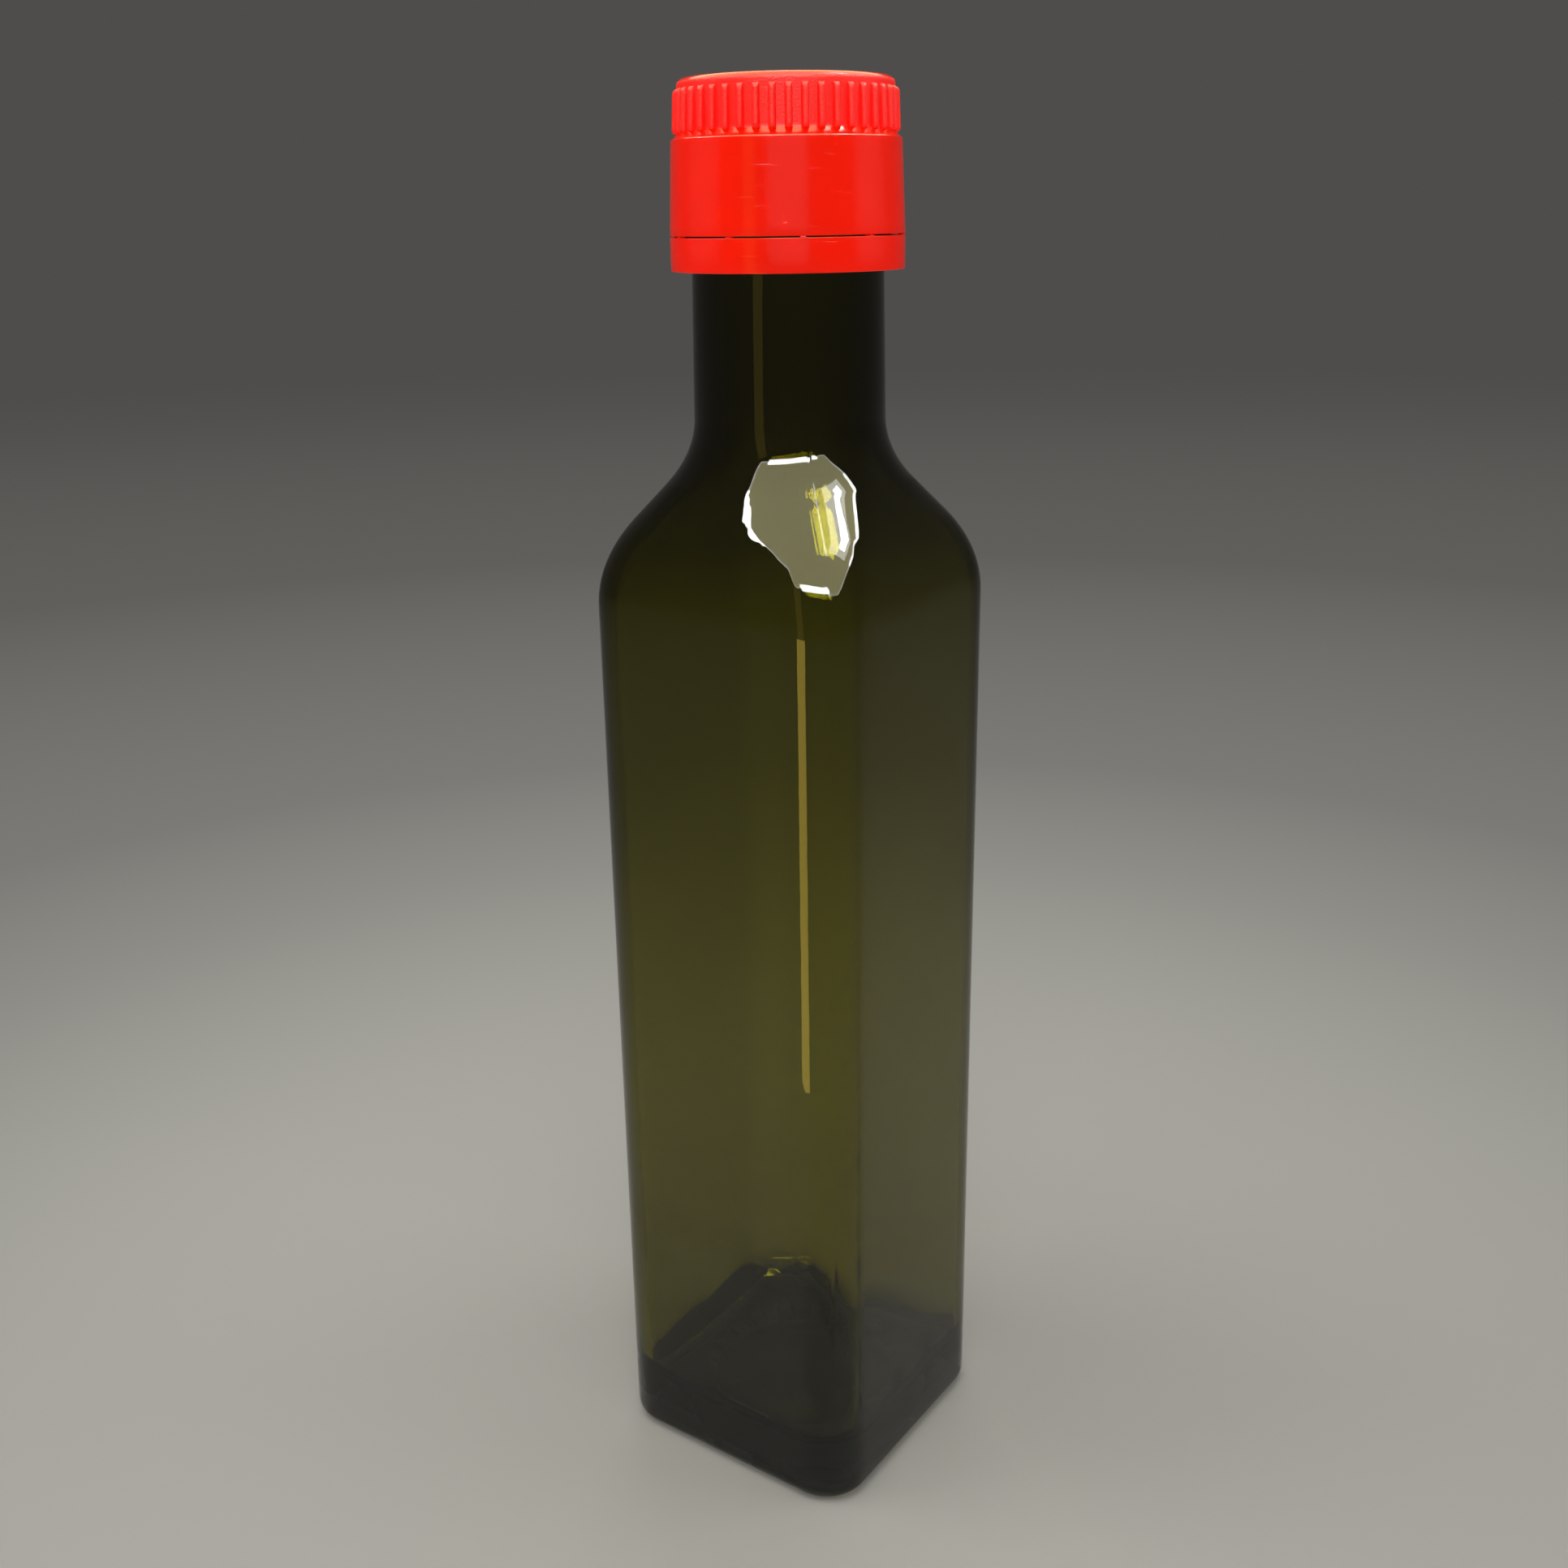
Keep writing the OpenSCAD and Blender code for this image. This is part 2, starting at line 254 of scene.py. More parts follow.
def start_material(name):
    """An empty node material, its tree and the socket of the object's own coordinates."""
    material = bpy.data.materials.new(name)
    material.use_nodes = True
    material.node_tree.nodes.clear()
    place = add_node(material.node_tree, "ShaderNodeTexCoord").outputs["Object"]
    return material, material.node_tree, place


def green_bottle_glass():
    """Antique-green container glass, blown in a polished iron mould: a clear, very dark olive that
    takes out nearly all blue, mirror-smooth, with a slow waviness that bends its highlights."""
    material, tree, place = start_material("antique_green_container_glass")
    # Slow waves about 14 mm long, and a faint orange peel of about 1.5 mm from the mould.
    waves = add_node(tree, "ShaderNodeTexNoise", {"Scale": 70, "Detail": 1}, {"Vector": place})
    wave_bump = add_node(tree, "ShaderNodeBump", {"Strength": 0.35, "Distance": 0.0003},
                         {"Height": waves.outputs["Fac"]})
    peel = add_node(tree, "ShaderNodeTexNoise", {"Scale": 650, "Detail": 1}, {"Vector": place})
    peel_bump = add_node(tree, "ShaderNodeBump", {"Strength": 0.06, "Distance": 0.00008},
                         {"Height": peel.outputs["Fac"], "Normal": wave_bump.outputs["Normal"]})
    glass = add_node(tree, "ShaderNodeBsdfPrincipled",
                     {"Base Color": (1, 1, 1, 1), "Roughness": 0.015, "IOR": 1.5,
                      "Transmission Weight": 1},
                     {"Normal": peel_bump.outputs["Normal"]})
    # Iron and chromium in the melt: each millimetre takes out about 30% of red and green and 63% of blue.
    tint = add_node(tree, "ShaderNodeVolumeAbsorption", {"Color": (0.66, 0.645, 0.0, 1), "Density": 1000})
    add_node(tree, "ShaderNodeOutputMaterial", None,
             {"Surface": glass.outputs["BSDF"], "Volume": tint.outputs["Volume"]})
    return material


def red_polypropylene(name, grained):
    """Red polypropylene, injection moulded: slightly see-through at its edges, so light soaks in and
    softens it. The skirt is polished with fine handling scratches, and the crown is spark-grained."""
    material, tree, place = start_material(name)
    # Faint lighter and darker clouds from the flow of the melt.
    clouds = add_node(tree, "ShaderNodeTexNoise", {"Scale": 160, "Detail": 2}, {"Vector": place})
    dark, light = ("f60400", "ff0a04") if grained else ("ee1600", "fa1a02")
    colour = add_node(tree, "ShaderNodeMix", {"data_type": "RGBA", MIX_A: linear(dark), MIX_B: linear(light)},
                      {"Factor": clouds.outputs["Fac"]})
    if grained:
        # Spark grain, drawn about 0.3 mm across so that it shows.
        grain = add_node(tree, "ShaderNodeTexNoise", {"Scale": 3300, "Detail": 2}, {"Vector": place})
        bump = add_node(tree, "ShaderNodeBump", {"Strength": 0.6, "Distance": 0.0001},
                        {"Height": grain.outputs["Fac"]})
    else:
        # Scratches a few millimetres long: noise stretched along one way, seen only at its peaks.
        long = add_node(tree, "ShaderNodeMapping", {"Scale": (160, 160, 3200), "Rotation": (0.3, 0.2, 0)},
                        {"Vector": place})
        marks = add_node(tree, "ShaderNodeTexNoise", {"Scale": 1, "Detail": 3},
                         {"Vector": long.outputs["Vector"]})
        peaks = add_node(tree, "ShaderNodeMapRange", {"From Min": 0.66, "From Max": 0.74},
                         {"Value": marks.outputs["Fac"]})
        bump = add_node(tree, "ShaderNodeBump", {"Strength": 0.4, "Distance": 0.00003},
                        {"Height": peaks.outputs["Result"]})
    plastic = add_node(tree, "ShaderNodeBsdfPrincipled",
                       {"Roughness": 0.42 if grained else 0.15, "IOR": 1.49,
                        "Subsurface Weight": 0.25, "Subsurface Radius": (1, 0.25, 0.15),
                        "Subsurface Scale": 0.0015},
                       {"Base Color": colour.outputs[MIX_RESULT], "Normal": bump.outputs["Normal"]})
    add_node(tree, "ShaderNodeOutputMaterial", None, {"Surface": plastic.outputs["BSDF"]})
    return material


def natural_polyethylene():
    """Natural low-density polyethylene, injection moulded: milky, waxy and soft to light."""
    material, tree, place = start_material("natural_low_density_polyethylene")
    haze = add_node(tree, "ShaderNodeTexNoise", {"Scale": 300, "Detail": 3}, {"Vector": place})
    colour = add_node(tree, "ShaderNodeMix",
                      {"data_type": "RGBA", MIX_A: linear("e4e4da"), MIX_B: linear("f0f0ea")},
                      {"Factor": haze.outputs["Fac"]})
    bump = add_node(tree, "ShaderNodeBump", {"Strength": 0.1, "Distance": 0.00005},
                    {"Height": haze.outputs["Fac"]})
    plastic = add_node(tree, "ShaderNodeBsdfPrincipled",
                       {"Roughness": 0.38, "IOR": 1.51, "Subsurface Weight": 0.6,
                        "Subsurface Radius": (1, 0.9, 0.75), "Subsurface Scale": 0.0015},
                       {"Base Color": colour.outputs[MIX_RESULT], "Normal": bump.outputs["Normal"]})
    add_node(tree, "ShaderNodeOutputMaterial", None, {"Surface": plastic.outputs["BSDF"]})
    return material


def liner_foam():
    """Expanded polyethylene, skived from a block: matt white with closed cells about 0.3 mm across."""
    material, tree, place = start_material("expanded_polyethylene_foam")
    cells = add_node(tree, "ShaderNodeTexVoronoi", {"Scale": 3000}, {"Vector": place})
    colour = add_node(tree, "ShaderNodeMix",
                      {"data_type": "RGBA", MIX_A: linear("f4f2ea"), MIX_B: linear("dedacf")},
                      {"Factor": cells.outputs["Distance"]})
    bump = add_node(tree, "ShaderNodeBump", {"Strength": 0.6, "Distance": 0.0001},
                    {"Height": cells.outputs["Distance"]})
    foam = add_node(tree, "ShaderNodeBsdfPrincipled", {"Roughness": 0.85, "IOR": 1.45},
                    {"Base Color": colour.outputs[MIX_RESULT], "Normal": bump.outputs["Normal"]})
    add_node(tree, "ShaderNodeOutputMaterial", None, {"Surface": foam.outputs["BSDF"]})
    return material


def studio_paper():
    """Matt pale background paper, rolled out without a crease. Near the bottle it takes light and shadow;
    further off it glows with a painted tone instead, painted darker with distance as a painted falloff of
    light into the dark of the studio."""
    material, tree, place = start_material("pale_background_paper")
    fibres = add_node(tree, "ShaderNodeTexNoise", {"Scale": 900, "Detail": 4}, {"Vector": place})
    bump = add_node(tree, "ShaderNodeBump", {"Strength": 0.08, "Distance": 0.0001},
                    {"Height": fibres.outputs["Fac"]})
    near = add_node(tree, "ShaderNodeBsdfPrincipled",
                    {"Base Color": linear("b0aea6"), "Roughness": 0.9, "Specular IOR Level": 0},
                    {"Normal": bump.outputs["Normal"]})
    # Metres from the bottle: lit paper up to 0.06 m, and the painted glowing tone from 0.28 m on.
    reach = add_node(tree, "ShaderNodeVectorMath", {"operation": "LENGTH"}, {0: place}).outputs["Value"]
    away = add_node(tree, "ShaderNodeMapRange",
                    {"interpolation_type": "SMOOTHSTEP", "From Min": 0.06, "From Max": 0.28},
                    {"Value": reach})
    # The painted tone's shades, darker further off as a painted falloff of light, as shares of the way from
    # 0.1 m to 1.8 m off.
    fall = add_node(tree, "ShaderNodeMapRange", {"From Min": 0.1, "From Max": 1.8}, {"Value": reach})
    painted_falloff_ramp = add_node(tree, "ShaderNodeValToRGB", None, {"Fac": fall.outputs["Result"]})
    stops = painted_falloff_ramp.color_ramp.elements
    stops[0].color, stops[-1].color = linear("a8a69f"), linear("4e4d4b")
    for share, shade in ((0.06, "989790"), (0.16, "7b7a76"), (0.4, "605f5c")):
        stops.new(share).color = linear(shade)
    # Painted light: the far paper glows in this painted tone rather than taking light from the lamps.
    painted_glow = add_node(tree, "ShaderNodeEmission", {"Strength": 1}, {"Color": painted_falloff_ramp.outputs["Color"]})
    # The painted tone shows to the camera, in gloss and through glass, and gives no light to anything matt.
    ray = add_node(tree, "ShaderNodeLightPath").outputs
    seen = add_node(tree, "ShaderNodeMath", {"operation": "MAXIMUM"},
                    {0: ray["Is Camera Ray"], 1: ray["Is Glossy Ray"]})
    seen = add_node(tree, "ShaderNodeMath", {"operation": "MAXIMUM"},
                    {0: seen.outputs[0], 1: ray["Is Transmission Ray"]})
    blend = add_node(tree, "ShaderNodeMath", {"operation": "MULTIPLY"},
                     {0: seen.outputs[0], 1: away.outputs["Result"]})
    both = add_node(tree, "ShaderNodeMixShader", None,
                    {"Fac": blend.outputs[0], 1: near.outputs["BSDF"], 2: painted_glow.outputs["Emission"]})
    add_node(tree, "ShaderNodeOutputMaterial", None, {"Surface": both.outputs["Shader"]})
    return material


# ---------------------------------------------------------------- the bottle
# The shoulder's height follows from its two arcs, its slope and the width that it takes in.
BENDS = SHOULDER_R + BLEND_R
SLOPE_RUN = BODY_HALF - NECK_R - BENDS * (1 - math.cos(SLOPE))
NECK_Z = BODY_Z + BENDS * math.sin(SLOPE) + SLOPE_RUN / math.tan(SLOPE)


def square_reach(angle, half, corner):
    """Distance from the axis to the edge of a rounded square in one direction."""
    long, short = sorted((abs(math.cos(angle)), abs(math.sin(angle))), reverse=True)
    straight = half - corner
    if half * short <= straight * long:
        return half / long
    return straight * (long + short) + math.sqrt(corner ** 2 - (straight * (long - short)) ** 2)


def body_angles(corner_steps=16, flat_steps=12):
    """Directions of the mesh's upright lines: close together on the corners and ridges, further apart on
    the flats."""
    edge = math.atan2(BODY_HALF - CORNER_R, BODY_HALF)
    flat = [mix(-edge, edge, i / flat_steps) for i in range(flat_steps)]
    corner = [mix(edge, math.pi / 2 - edge, i / corner_steps) for i in range(corner_steps)]
    spreads = (-1.6, -1.1, -0.55, 0.55, 1.1, 1.6)
    ridge = [turn + off * SEAM_SPREAD for turn in SEAM_TURNS for off in spreads]
    return sorted([side * math.pi / 2 + a for side in range(4) for a in flat + corner] + ridge)


def shoulder_profile(steps=12):
    """(height, half-width, slope) from the top of the flat sides to the foot of the neck."""
    lower = [(BODY_Z + SHOULDER_R * math.sin(a), BODY_HALF - SHOULDER_R * (1 - math.cos(a)), a)
             for a in (SLOPE * i / steps for i in range(steps + 1))]
    upper = [(NECK_Z - BLEND_R * math.sin(a), NECK_R + BLEND_R * (1 - math.cos(a)), a)
             for a in (SLOPE * (1 - i / steps) for i in range(steps + 1))]
    return lower + upper


def neck_share(half):
    """0 at the flat sides and 1 at the neck."""
    return (BODY_HALF - half) / (BODY_HALF - NECK_R)


def still(angle, z):
    """No relief: a surface that keeps its plain outline."""
    return 0.0


def seam(angle, z):
    """The faint rounded ridges where the mould's halves met."""
    return sum(SEAM_H * math.exp(-((angle - turn) / SEAM_SPREAD) ** 2) for turn in SEAM_TURNS)


def uneven(angle, z, depth, height, spread):
    """Smooth folds of up to the depth and about one height tall. More of them pass round the axis where
    their spread is larger."""
    return depth * noise.noise(Vector((math.cos(angle) * spread, math.sin(angle) * spread, z / height)))


def inner_waves(angle, z):
    """The uneven inside of blown glass."""
    return uneven(angle, z, depth=0.15 * MM, height=26 * MM, spread=1.6)


def heel_ripples(angle, z):
    """Short folds round the foot of the inside, where the glass set first."""
    return inner_waves(angle, z) + uneven(angle, z, depth=0.45 * MM, height=5 * MM, spread=4)


def glass_thread(angle, z):
    """The right-handed ridge of the thread, faded out at both ends."""
    start = SKIRT_Z + THREAD_LIFT
    depth = THREAD_R - FINISH_R
    best = 0.0
    for turn in range(-1, 3):
        along = (angle % math.tau) / math.tau + turn
        if 0 <= along <= THREAD_TURNS:
            off = abs(z - start - THREAD_PITCH * along)
            flank = (THREAD_ROOT_W / 2 - off) / ((THREAD_ROOT_W - THREAD_CREST_W) / 2)
            fade = min(1, along / THREAD_FADE_TURNS, (THREAD_TURNS - along) / THREAD_FADE_TURNS)
            best = max(best, depth * fade * min(max(flank, 0), 1))
    return best


def glass_stations():
    """The bottle's whole skin as rings (height, half-width, corner radius, relief), from the middle of
    the base up the outside, over the rim and down the inside to the middle of the floor."""
    def round_rings(points, relief=still):
        return [(z, r, r, relief) for r, z in points]

    punt = [(PUNT_R * i / 10, PUNT_DEPTH * (1 - (i / 10) ** 2)) for i in range(1, 11)]
    heel = [(HEEL_R * (1 - math.cos(a)), HEEL_R * (1 - math.sin(a)))
            for a in (math.pi / 2 * i / 8 for i in range(9))]
    inner_heel = [(BASE + INNER_HEEL_R * (1 - math.cos(a)), INNER_HEEL_R * (1 - math.sin(a)))
                  for a in (math.pi / 2 * i / 10 for i in range(11))]
    sides = [mix(HEEL_R, BODY_Z, i / 24) for i in range(1, 24)]
    inner_sides = [mix(BASE + INNER_HEEL_R, BODY_Z, i / 24) for i in range(1, 24)]

    outside = round_rings(punt)
    outside += [(0, mix(PUNT_R, BODY_HALF - HEEL_R, 0.5), mix(PUNT_R, CORNER_R - HEEL_R, 0.5), still)]
    outside += [(z, BODY_HALF - inset, CORNER_R - inset, seam) for z, inset in heel]
    outside += [(z, BODY_HALF, CORNER_R, seam) for z in sides]
    outside += [(z, half, mix(CORNER_R, NECK_R, neck_share(half)), seam)
                for z, half, slope in shoulder_profile()]

    neck = [(mix(NECK_R, FINISH_R, i / 6), mix(NECK_Z, BAND_Z, i / 6)) for i in range(1, 7)]
    ring_z = BAND_Z + RING_LIFT
    slope = [(FINISH_R, 0), (THREAD_R - RING_BULGE, RING_SLOPE_H / 2), (THREAD_R, RING_SLOPE_H)]
    ring = [(r, ring_z + up) for r, up in slope] + [(r, ring_z + RING_H - up) for r, up in reversed(slope)]
    thread_low, thread_high = SKIRT_Z + 2.8 * MM, RIM_Z - 4.01 * MM
    thread = [(FINISH_R, mix(thread_low, thread_high, i / 36)) for i in range(37)]
    rim = [(RIM_R, RIM_Z - RIM_H)]
    rim += arc(RIM_R - RIM_ROUND, RIM_Z - RIM_ROUND, RIM_ROUND, 0, 90)
    rim += arc(BORE_R + RIM_ROUND, RIM_Z - RIM_ROUND, RIM_ROUND, 90, 180)
    outside += round_rings(neck[:-1], seam) + round_rings(neck[-1:] + ring)
    outside += round_rings(thread, glass_thread) + round_rings(rim)

    bore = [(BORE_R, mix(RIM_Z - 2 * RIM_ROUND, NECK_Z, i / 8)) for i in range(8)]
    inside = round_rings(bore)
    for z, half, slope in reversed(shoulder_profile()):
        share = neck_share(half)
        wall = mix(WALL, NECK_R - BORE_R, share)
        inside.append((z - wall * math.sin(slope), half - wall * math.cos(slope),
                       mix(INNER_CORNER_R, BORE_R, share), inner_waves))
    half = BODY_HALF - WALL
    inside += [(z, half, INNER_CORNER_R, inner_waves) for z in reversed(inner_sides)]
    inside += [(z, half - inset, INNER_CORNER_R + inset, heel_ripples) for z, inset in reversed(inner_heel)]
    floor = [(r, BASE + (1 - r / FLOOR_RISE_R) * FLOOR_RISE)
             for r in (share * FLOOR_RISE_R for share in (1, 3 / 4, 1 / 2, 1 / 4, 1 / 12))]
    return outside + inside + round_rings(floor)


def glass_reach(angle, station):
    z, half, corner, relief = station
    return square_reach(angle, half, min(corner, half)) + relief(angle, z)


def make_bottle(glass):
    bm = bmesh.new()
    ring_tube(bm, body_angles(), glass_stations(), glass_reach)
    make_piece("glass_bottle", bm, [glass], "glass", "bottle", sharp=50)


# ---------------------------------------------------------------- the cap
def rib_stand(angle, z):
    """How far the grip ribs stand out from the crown: half-round, drafted, rounded at head and foot."""
    pitch = math.tau / RIB_COUNT
    off = (angle - RIB_PHASE + pitch / 2) % pitch - pitch / 2
    across = abs((CROWN_R + RIB_DEPTH / 2) * math.sin(off))
    if across > RIB_W / 2 or not RIB_FOOT_Z < z < RIB_HEAD_Z:
        return 0.0
    stand = RIB_DEPTH - RIB_DRAFT * (z - LEDGE_Z) / (RIB_HEAD_Z - LEDGE_Z)
    stand -= RIB_W / 2 - math.sqrt((RIB_W / 2) ** 2 - across ** 2)
    for share in ((RIB_HEAD_Z - z) / RIB_HEAD_ROUND, (z - RIB_FOOT_Z) / RIB_FOOT_ROUND):
        stand *= math.sqrt(1 - (1 - min(1, share)) ** 2)
    return stand


def crown_angles():
    """Directions of the cap's upright lines, closest together on the ribs."""
    pitch = math.tau / RIB_COUNT
    half = math.asin(RIB_W / 2 / (CROWN_R + RIB_DEPTH / 2))
    # Shares of a rib's half-width, the last of them just past its edge.
    shares = (0.25, 0.6, 0.86, 0.99, 1.06)
    rib = [-half * share for share in reversed(shares)] + [half * share for share in shares]
    gap = [mix(rib[-1], pitch - rib[-1], share) for share in (0.33, 0.67)]
    return [RIB_PHASE + i * pitch + a for i in range(RIB_COUNT) for a in rib + gap]


def cap_stations():
    """The cap's skin as rings (height, radius, ribbed): from the middle of the ceiling down the inside,
    round the lower edge and up the outside to the middle of the top."""
    def rings(points, ribbed=False):
        return [(z, r, ribbed) for r, z in points]

    # The ceiling, the bead that keeps the liner up, and the step out to the threaded skirt.
    soft, ceiling_z = 0.2 * MM, TOP_Z - CAP_TOP_T
    bead_z, bead_h, bead_deep = LINER_LOW.z - 0.02 * MM, 0.4 * MM, 0.7 * MM
    step_z, step_h, wall_drop = LEDGE_Z - 0.2 * MM, 0.6 * MM, 1 * MM
    inside = [(r * MM, ceiling_z) for r in (1, 6, 12)]
    inside += [(CROWN_IN_R - soft, ceiling_z), (CROWN_IN_R, ceiling_z - soft), (CROWN_IN_R, bead_z),
               (CROWN_IN_R - bead_deep, bead_z - bead_h / 2), (CROWN_IN_R, bead_z - bead_h),
               (CROWN_IN_R, step_z), (SKIRT_IN_R, step_z - step_h)]
    inside += [(SKIRT_IN_R, mix(step_z - wall_drop, SKIRT_Z + soft, i / 6)) for i in range(7)]

    # The lower edge is nearly sharp outside, so that the slit above the band stays thin.
    crisp, taper = 0.06 * MM, 0.002 * MM
    edge = [(SKIRT_IN_R + crisp, SKIRT_Z + crisp), (SKIRT_IN_R + soft, SKIRT_Z), (CAP_R - crisp, SKIRT_Z),
            (CAP_R - crisp / 4, SKIRT_Z + crisp / 3), (CAP_R - taper, SKIRT_Z + crisp)]

    skirt_round = 0.35 * MM
    skirt_end = LEDGE_Z - skirt_round
    skirt = [(mix(CAP_R, SKIRT_TOP_R, i / 8), mix(SKIRT_Z, skirt_end, i / 8)) for i in range(1, 9)]
    skirt += arc(SKIRT_TOP_R - skirt_round, skirt_end, skirt_round, 12, 60)
    # The ledge starts nearly flat and steepens as it runs into the crown, as a wide fillet does.
    ledge_r, ledge_foot = skirt[-1]
    ledge_head = LEDGE_Z + LEDGE_H
    ledge = [(mix(ledge_r, CROWN_R, s), mix(ledge_foot, ledge_head, s ** LEDGE_CURVE))
             for s in (i / 20 for i in range(1, 21))]

    round_z = RIB_HEAD_Z - RIB_HEAD_ROUND
    crown = [(CROWN_R, mix(ledge_head, round_z, i / 12)) for i in range(1, 13)]
    crown += [(CROWN_R, round_z + RIB_HEAD_ROUND * math.sin(math.pi / 2 * i / 6)) for i in range(1, 7)]

    top_round = 1 * MM
    top = [(CROWN_R, RIB_HEAD_Z + 0.1 * MM)]
    top += arc(CROWN_R - top_round, TOP_Z - top_round, top_round, 0, 90, 8)
    top += [(r * MM, TOP_Z) for r in (13, 10, 6, 1.6)]
    # The gate mark that moulding leaves in the middle of the top: a dimple round a flat stub.
    dimple_z, stub_z = TOP_Z - 0.15 * MM, TOP_Z - 0.02 * MM
    top += [(1.3 * MM, dimple_z), (0.8 * MM, dimple_z), (0.6 * MM, stub_z), (0.2 * MM, stub_z)]
    return rings(inside + edge + skirt) + rings(ledge + crown, ribbed=True) + rings(top)


def cap_reach(angle, station):
    z, radius, ribbed = station
    return max(radius, CROWN_R + rib_stand(angle, z)) if ribbed else radius


def cap_thread(bm):
    """The ridge inside the cap that runs under the glass thread, a flank's gap below it."""
    crest_r, sunk_r = FINISH_R + THREAD_GAP, SKIRT_IN_R + THREAD_SINK
    flank = (THREAD_ROOT_W - THREAD_CREST_W) / 2 / (THREAD_R - FINISH_R + THREAD_SINK)
    drop = THREAD_CREST_W + FLANK_GAP + flank * (THREAD_R - crest_r)
    mid = SKIRT_Z + THREAD_LIFT - drop
    outline = [(crest_r, mid - THREAD_CREST_W / 2), (crest_r, mid + THREAD_CREST_W / 2),
               (sunk_r, mid + THREAD_ROOT_W / 2), (sunk_r, mid - THREAD_ROOT_W / 2)]
    lathe(bm, outline, steps=72, turn=math.tau * THREAD_TURNS, rise=THREAD_PITCH * THREAD_TURNS)


def make_cap(polished, grained):
    bm = bmesh.new()
    ring_tube(bm, crown_angles(), cap_stations(), cap_reach)
    # The grain covers the crown's side, ribs and all, and stops within the top's rounding.
    skin, grain_low, grain_high = 0.5 * MM, LEDGE_Z + LEDGE_H, TOP_Z - 0.5 * MM
    for face in bm.faces:
        middle = face.calc_center_median()
        outside = math.hypot(middle.x, middle.y) > CROWN_R - skin
        if outside and grain_low < middle.z < grain_high:
            face.material_index = 1
    cap_thread(bm)
    make_piece("screw_cap_moulding", bm, [polished, grained], "cap", "screw_cap")


# ---------------------------------------------------------------- the tamper band
def add_block(bm, size, turn, reach, z, soft):
    """A small bevelled block in one direction from the axis, with its middle at that reach and height."""
    place = Matrix.Rotation(turn, 4, "Z") @ Matrix.Translation((reach, 0, z)) @ Matrix.Diagonal((*size, 1))
    made = bmesh.ops.create_cube(bm, size=1, matrix=place)["verts"]
    edges = {edge for vert in made for edge in vert.link_edges}
    bmesh.ops.bevel(bm, geom=list(edges), offset=soft, offset_type="OFFSET", affect="EDGES", segments=2,
                    profile=0.5, material=-1, clamp_overlap=True)


def make_band(polished):
    bm = bmesh.new()
    # The outer top edge is nearly sharp, so that the slit under the skirt stays thin.
    soft, crisp = 0.15 * MM, 0.05 * MM
    wall = arc(CAP_R - soft, BAND_Z + soft, soft, -90, 0, 3)
    wall += arc(CAP_R - crisp, BAND_TOP - crisp, crisp, 0, 90, 3)
    wall += arc(SKIRT_IN_R + soft, BAND_TOP - soft, soft, 90, 180, 3)
    wall += arc(SKIRT_IN_R + soft, BAND_Z + soft, soft, 180, 270, 3)
    lathe(bm, wall, steps=180)

    # The flaps inside the band, which catch under the ring on the neck.
    flap_r, root_r = FINISH_R + THREAD_GAP, SKIRT_IN_R + 0.3 * MM
    flap_top = FLAP_Z + FLAP_H
    flap = [(root_r, FLAP_Z), (root_r, flap_top), (flap_r + 0.1 * MM, flap_top), (flap_r, flap_top - soft),
            (flap_r, FLAP_Z + FLAP_H / 2)]
    # The bridges, lapped into the band's top.
    bridge = (BRIDGE_DEPTH, BRIDGE_W, BRIDGE_H)
    bridge_r = CAP_R - BRIDGE_SET_BACK - BRIDGE_DEPTH / 2
    bridge_z = BAND_HIGH.z - BRIDGE_H / 2
    pitch = math.tau / BRIDGE_COUNT
    slot = FLAP_SLOT_W / SKIRT_IN_R
    for i in range(BRIDGE_COUNT):
        turn = BRIDGE_PHASE + i * pitch
        lathe(bm, flap, steps=12, start=turn - pitch / 2 + slot / 2, turn=pitch - slot)
        add_block(bm, bridge, turn, bridge_r, bridge_z, soft=0.08 * MM)
    make_piece("tamper_band_moulding", bm, [polished], "band", "tamper_band")


# ---------------------------------------------------------------- pourer and liner
def make_pourer(plastic):
    foot, top, web_top = POUR_LOW.z, POUR_HIGH.z, WEB_Z + WEB_T
    fine, soft, fillet = 0.1 * MM, 0.15 * MM, 0.3 * MM
    # Up the plug's outside and round the flange.
    outline = [(PLUG_IN_R + fine, foot), (PLUG_R - PLUG_LEAD, foot), (PLUG_R, foot + PLUG_LEAD_H),
               (PLUG_R, RIM_Z), (FLANGE_R - fine, RIM_Z)]
    outline += arc(FLANGE_R - FLANGE_ROUND, FLANGE_Z - FLANGE_ROUND, FLANGE_ROUND, 0, 90, 4)
    # In to the spout's waist, with a fillet at its foot, and up to the flared lip.
    outline += [(SPOUT_WAIST_R + 0.22 * MM, FLANGE_Z), (SPOUT_WAIST_R, FLANGE_Z + 0.2 * MM),
                (SPOUT_WAIST_R + 0.04 * MM, FLANGE_Z + 0.5 * MM), (LIP_R - fine, top - 0.25 * MM)]
    outline += arc(LIP_R - LIP_ROUND, top - LIP_ROUND, LIP_ROUND, 0, 90, 4)
    # Down the inside of the spout, through the hole in the web and down the inside of the plug.
    outline += [(LIP_R - LIP_W, top), (LIP_R - LIP_W - 0.2 * MM, top - 0.2 * MM), (SPOUT_IN_R, FLANGE_Z),
                (SPOUT_IN_R, web_top + fillet), (SPOUT_IN_R - fillet, web_top), (HOLE_R + soft, web_top),
                (HOLE_R, web_top - soft), (HOLE_R, WEB_Z + soft), (HOLE_R + soft, WEB_Z),
                (PLUG_IN_R - fillet, WEB_Z), (PLUG_IN_R, WEB_Z - fillet), (PLUG_IN_R, foot + fine)]
    bm = bmesh.new()
    lathe(bm, outline, steps=128)
    make_piece("pouring_insert", bm, [plastic], "glass", "pourer_insert")


